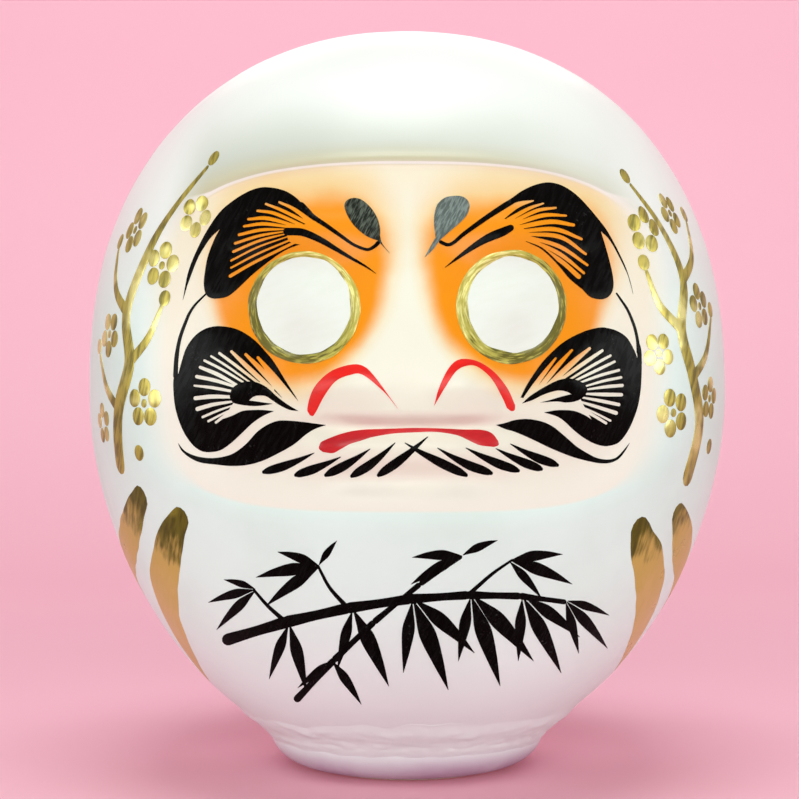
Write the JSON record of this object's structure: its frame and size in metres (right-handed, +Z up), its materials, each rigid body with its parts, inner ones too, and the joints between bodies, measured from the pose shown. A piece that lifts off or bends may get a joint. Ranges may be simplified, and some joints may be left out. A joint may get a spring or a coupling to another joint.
{
  "type": "daruma doll",
  "caption": "Round papier-mache wish doll: hollow moulded shell with a relief face under a hood, narrowing to a small weighted foot that keeps it upright.",
  "frame": {"origin": "middle of the flat bottom that the doll stands on", "axes": "+Z up, the face looks along -Y, +X is to the right of someone facing the doll"},
  "size_m": [0.2946, 0.3, 0.34],
  "materials": {
    "painted_pulp": "satin",
    "painted_paper": "satin",
    "bare_paper": "matte",
    "clay": "matte"
  },
  "bodies": {
    "root": {"front_shell": "painted_pulp", "rear_shell": "painted_pulp", "base_cup": "painted_pulp", "foot_band": "painted_paper", "seam_tape_left": "bare_paper", "seam_tape_right": "bare_paper", "seam_tape_crown": "bare_paper", "bottom_sheet": "bare_paper", "clay_weight": "clay"}
  },
  "joints": []
}
